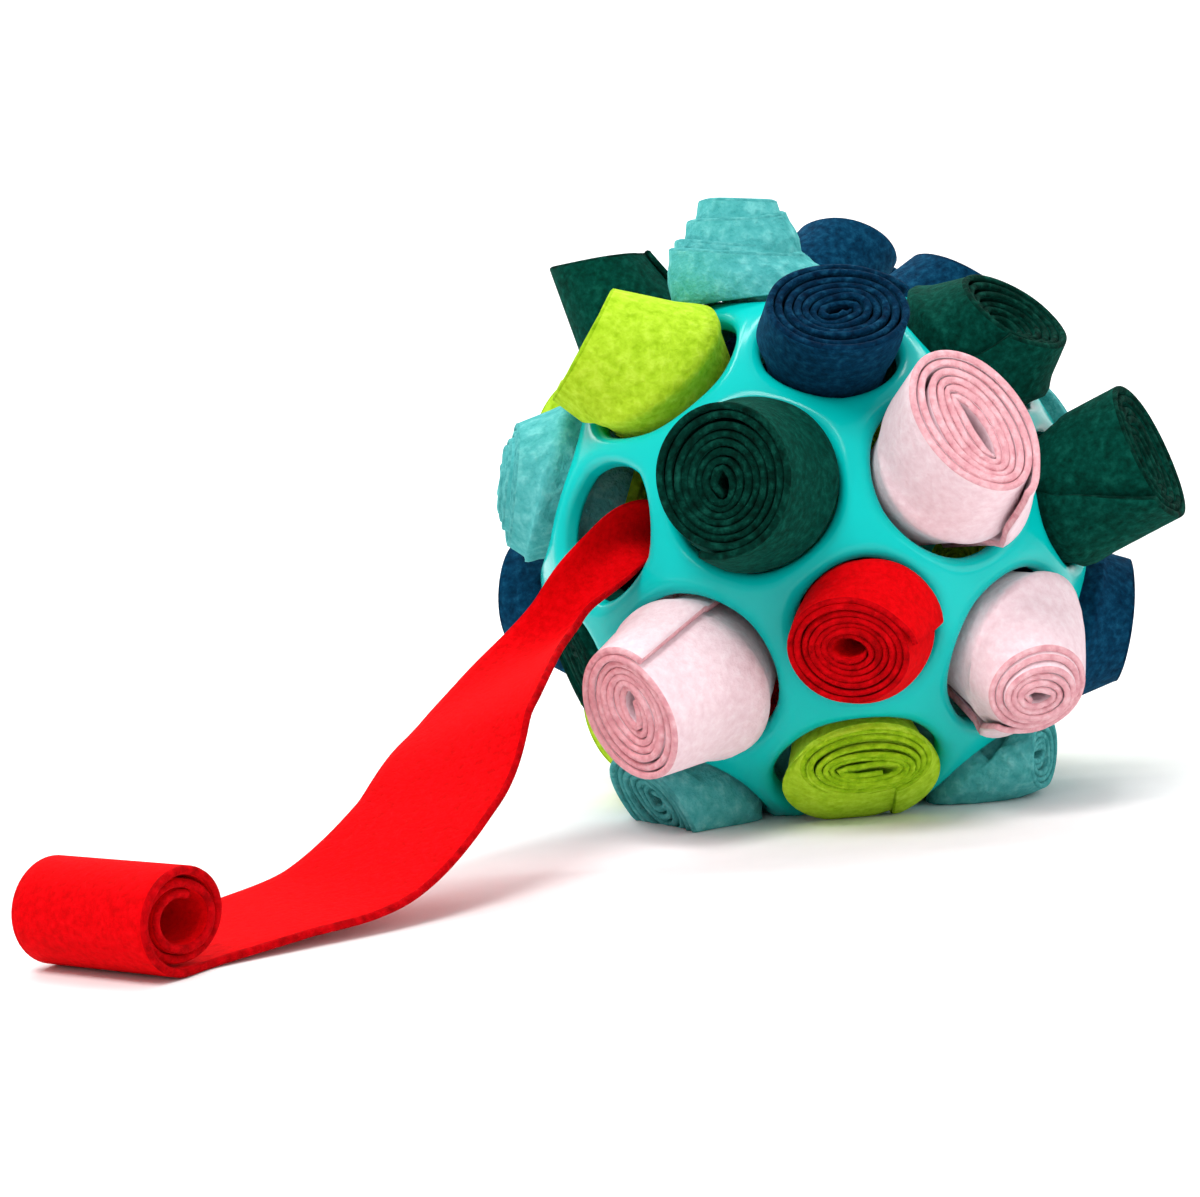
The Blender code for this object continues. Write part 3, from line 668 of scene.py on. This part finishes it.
def red_strip(finishes):
    """One sheet: three loose turns on the floor, then the run up into the ball."""
    route = smooth_route(STRIP_ROUTE, ROUTE_STEPS)
    places = route[:, :3] * MM
    runs = np.gradient(places, axis=0)
    start_run = unit((runs[0][0], runs[0][1], 0))
    across = unit(np.cross((0, 0, 1), start_run))
    hub = places[0] + np.array((0, 0, LOOP_TALL - STRIP_THICK / 2))
    sections = []  # place, outward normal, half width vector, how far it is gathered
    for k in range(LOOP_STEPS):
        share = 1 - k / LOOP_STEPS  # 1 at the inner end, 0 where the strip leaves along the floor
        angle = -math.pi / 2 + 0.05 - share * 2 * math.pi * LOOP_TURNS
        grow = 1 - (1 - LOOP_CORE) * share
        wobble = LOOP_WOBBLE * math.sin(angle * 1.3 + 1) * share
        reach_w = LOOP_WIDE * grow + wobble - STRIP_THICK / 2
        reach_t = LOOP_TALL * grow * (1 - LOOP_SAG * share) + wobble - STRIP_THICK / 2
        stray = LOOP_STRAYS[0] * math.sin(angle * 0.6 + 0.5) + LOOP_STRAYS[1] * (share - 0.5)
        level = start_run * math.cos(angle)
        spot = hub + level * reach_w + np.array((0, 0, math.sin(angle) * reach_t)) + across * stray
        normal = unit(level / LOOP_WIDE + np.array((0, 0, math.sin(angle) / LOOP_TALL)))
        sections.append((spot, normal, -across * STRIP_WIDTH / 2, 0.0))
    neck_from = len(places) * NECK_FROM
    for k, spot in enumerate(places):
        run = unit(runs[k])
        width = unit(np.cross((0, 0, 1), run))
        normal = np.cross(run, width)
        tilt = math.radians(route[k][3])
        width, normal = (
            width * math.cos(tilt) + normal * math.sin(tilt),
            normal * math.cos(tilt) - width * math.sin(tilt),
        )
        gather = min(1.0, max(0.0, (k - neck_from) / (NECK_RUN * len(places))))
        half = (STRIP_WIDTH + (NECK_WIDTH - STRIP_WIDTH) * smooth(gather, 0, 1)) / 2
        if k >= ROUTE_LEFT_OUT:
            sections.append((spot, -normal, -width * half, gather))
    count = len(sections)
    middles = np.zeros((STRIP_ROWS, count, 3))
    outward = np.zeros((STRIP_ROWS, count, 3))
    for s, (spot, normal, half, gather) in enumerate(sections):
        for r in range(STRIP_ROWS):
            share = -1 + 2 * r / (STRIP_ROWS - 1)
            # gathered cloth keeps its width in a trough
            trough = gather * TROUGH * (share**2 - 0.35)
            middles[r, s] = spot + half * share - normal * trough
            outward[r, s] = normal
    ups = np.array([unit(half) for _, _, half, _ in sections])
    made = ribbon("red_strip_cloth", middles, outward, ups, STRIP_THICK, *finishes)
    place_on_floor(made)
    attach(made, "root")
    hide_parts("red_strip")


# --- The studio -------------------------------------------------------------------------------------
def camera():
    data = bpy.data.cameras.new("camera")
    data.lens = LENS
    data.sensor_width = SENSOR
    data.clip_start, data.clip_end = 0.01, 20
    made = bpy.data.objects.new("camera", data)
    right, up = unit(CAMERA_RIGHT), unit(CAMERA_UP)
    back = np.cross(right, up)
    turn = Matrix((
        (right[0], up[0], back[0], CAMERA_PLACE[0]),
        (right[1], up[1], back[1], CAMERA_PLACE[1]),
        (right[2], up[2], back[2], CAMERA_PLACE[2]),
        (0, 0, 0, 1),
    ))
    made.matrix_world = turn
    bpy.context.scene.collection.objects.link(made)
    bpy.context.scene.camera = made


def area_light(name, place, target, size, power):
    data = bpy.data.lights.new(name, "AREA")
    data.shape = "RECTANGLE"
    data.size, data.size_y = size
    data.energy = power
    made = bpy.data.objects.new(name, data)
    bpy.context.scene.collection.objects.link(made)
    back = unit(np.array(place, float) - np.array(target, float))
    right = unit(np.cross((0, 0, 1), back))
    up = np.cross(back, right)
    made.matrix_world = Matrix((
        (right[0], up[0], back[0], place[0]),
        (right[1], up[1], back[1], place[1]),
        (right[2], up[2], back[2], place[2]),
        (0, 0, 0, 1),
    ))


def studio():
    world = bpy.data.worlds.new("studio")
    world.use_nodes = True
    background = world.node_tree.nodes["Background"]
    background.inputs["Color"].default_value = (1.0, 1.0, 1.0, 1.0)
    background.inputs["Strength"].default_value = 0.62
    bpy.context.scene.world = world
    ball = (0, 0, REST_HEIGHT)
    area_light("key", (-0.35, -0.65, 1.05), ball, (0.45, 0.45), 9)
    area_light("fill", (0.95, -0.6, 0.55), ball, (0.6, 0.8), 3)
    area_light("rim", (-0.5, 0.75, 0.9), ball, (0.9, 0.5), 5)
    area_light("backdrop_light", (0, 1.0, 2.2), (0, 2.2, 0.4), (3.5, 0.6), 60)
    # a floor that turns up into a wall far behind
    outline = [(-FLOOR_NEAR, 0.0), (FLOOR_FAR, 0.0)]
    for k in range(1, FLOOR_STEPS + 1):
        turn = math.pi / 2 * k / FLOOR_STEPS
        outline.append((FLOOR_FAR + FLOOR_BEND * math.sin(turn), FLOOR_BEND * (1 - math.cos(turn))))
    outline.append((FLOOR_FAR + FLOOR_BEND, FLOOR_HALF_WIDE))
    points = [(x, y, z) for y, z in outline for x in (-FLOOR_HALF_WIDE, FLOOR_HALF_WIDE)]
    faces = [(2 * k, 2 * k + 1, 2 * k + 3, 2 * k + 2) for k in range(len(outline) - 1)]
    mesh_object("floor", points, faces, [floor_material()])
    settings = bpy.context.scene.view_settings
    settings.view_transform = "Standard"
    settings.look = "None"


def main():
    camera()
    studio()
    holes = lattice()
    finishes = {
        name: (
            fleece(f"{name}_cloth", *CLOTHS[name], PILE[name], grain=GRAIN[name]),
            fleece(f"{name}_cut_edge", *EDGES[name], 0.8, 0.15),
        )
        for name in CLOTHS
    }
    shell = ball_shell(holes, rubber_material())
    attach(shell, "root")
    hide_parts("ball_shell")
    for seed, row in enumerate(ROLLS):
        wound_roll(row, holes, finishes[row[1]], seed)
    red_strip(finishes["red"])


main()
